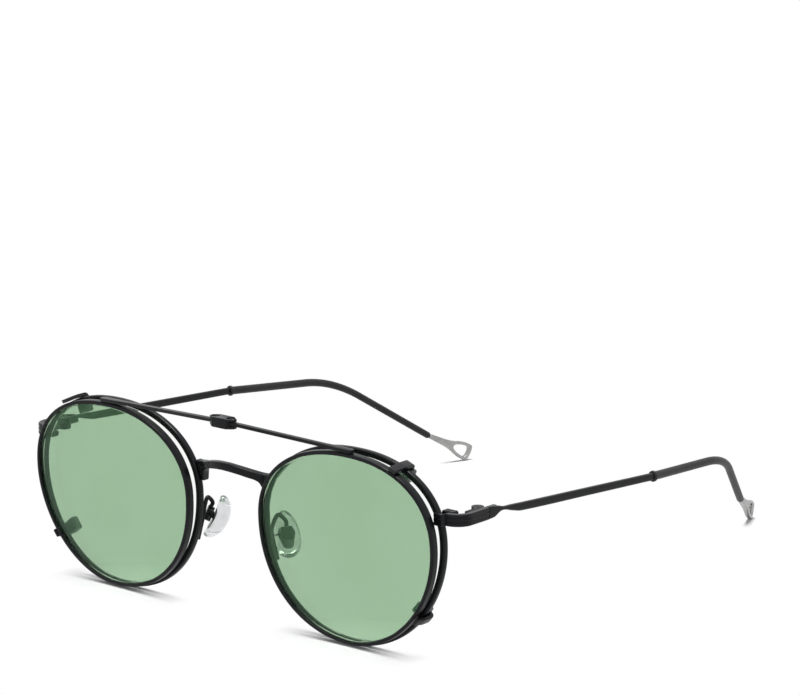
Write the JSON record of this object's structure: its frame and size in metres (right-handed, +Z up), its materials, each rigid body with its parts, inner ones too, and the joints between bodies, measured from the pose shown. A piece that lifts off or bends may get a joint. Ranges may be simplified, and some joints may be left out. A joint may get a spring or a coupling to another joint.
{
  "type": "round glasses with clip-on sun lenses",
  "caption": "Round metal spectacles with clear lenses, folding temples with silver tip loops, and a hooked green clip-on that folds in half at a link over the bridge.",
  "frame": {"origin": "middle of the footprint, on the surface it stands on", "axes": "+Z up, -Y the way the lenses face, +X the wearer's left"},
  "size_m": [0.138, 0.1528, 0.0483],
  "materials": {
    "black_metal": "satin black",
    "silver_metal": "satin silver",
    "dark_sleeve": "semi-matte",
    "clear_plastic": "clear gloss",
    "clear_lens": "clear lens",
    "green_lens": "green tinted lens"
  },
  "bodies": {
    "front": {"bridge": "black_metal", "left_rim": "black_metal", "left_clear_lens": "clear_lens", "left_end_piece": "black_metal", "left_lock_upper": "black_metal", "left_lock_lower": "black_metal", "left_lock_screw": "black_metal", "left_hinge_front": "black_metal", "left_hinge_screw": "black_metal", "left_pad_arm": "black_metal", "left_pad_box": "black_metal", "left_pad_screw": "black_metal", "right_rim": "black_metal", "right_clear_lens": "clear_lens", "right_end_piece": "black_metal", "right_lock_upper": "black_metal", "right_lock_lower": "black_metal", "right_lock_screw": "black_metal", "right_hinge_front": "black_metal", "right_hinge_screw": "black_metal", "right_pad_arm": "black_metal", "right_pad_box": "black_metal", "right_pad_screw": "black_metal"},
    "left_temple": {"left_hinge_temple": "black_metal", "left_temple": "black_metal", "left_temple_sleeve": "dark_sleeve", "left_tip_loop": "silver_metal"},
    "right_temple": {"right_hinge_temple": "black_metal", "right_temple": "black_metal", "right_temple_sleeve": "dark_sleeve", "right_tip_loop": "silver_metal"},
    "left_pad": {"left_nose_pad": "clear_plastic", "left_pad_core": "black_metal"},
    "right_pad": {"right_nose_pad": "clear_plastic", "right_pad_core": "black_metal"},
    "clip_link": {"fold_link": "black_metal", "left_link_screw": "black_metal", "right_link_screw": "black_metal"},
    "left_clip": {"left_clip_rim": "black_metal", "left_clip_lens": "green_lens", "left_brow_bar": "black_metal", "left_upper_claw": "black_metal", "left_upper_claw_sleeve": "clear_plastic", "left_lower_claw": "black_metal", "left_lower_claw_sleeve": "clear_plastic"},
    "right_clip": {"right_clip_rim": "black_metal", "right_clip_lens": "green_lens", "right_brow_bar": "black_metal", "right_upper_claw": "black_metal", "right_upper_claw_sleeve": "clear_plastic", "right_lower_claw": "black_metal", "right_lower_claw_sleeve": "clear_plastic"}
  },
  "joints": [
    {"name": "left_temple_fold", "type": "hinge", "parent": "front", "child": "left_temple", "pos_m": [0.06456, -0.06124, 0.034], "axis": [0, 0, 1], "range_deg": [0, 86]},
    {"name": "right_temple_fold", "type": "hinge", "parent": "front", "child": "right_temple", "pos_m": [-0.06456, -0.06124, 0.034], "axis": [0, 0, 1], "range_deg": [-82, 0]},
    {"name": "left_pad_rock", "type": "hinge", "parent": "front", "child": "left_pad", "pos_m": [0.01273, -0.06598, 0.02092], "axis": [0.6231, 0.7759, 0.0987], "range_deg": [-6, 6]},
    {"name": "right_pad_rock", "type": "hinge", "parent": "front", "child": "right_pad", "pos_m": [-0.01273, -0.06598, 0.02092], "axis": [-0.6231, 0.7759, 0.0987], "range_deg": [-6, 6]},
    {"name": "clip_release", "type": "slide", "parent": "front", "child": "clip_link", "axis": [0, -1, 0], "range_m": [0, 0.105], "deforming": ["left_upper_claw", "left_upper_claw_sleeve", "left_lower_claw", "left_lower_claw_sleeve", "right_upper_claw", "right_upper_claw_sleeve", "right_lower_claw", "right_lower_claw_sleeve"]},
    {"name": "left_clip_fold", "type": "hinge", "parent": "clip_link", "child": "left_clip", "pos_m": [0.00235, -0.07464, 0.04705], "axis": [0, 0, 1], "range_deg": [0, 83]},
    {"name": "right_clip_fold", "type": "hinge", "parent": "clip_link", "child": "right_clip", "pos_m": [-0.00235, -0.07464, 0.04705], "axis": [0, 0, 1], "range_deg": [-83, 0]}
  ],
  "couplings": [
    {"joint": "left_clip_fold", "follows": "clip_release", "rad_per_m": 13.75},
    {"joint": "right_clip_fold", "follows": "clip_release", "rad_per_m": -13.75}
  ]
}
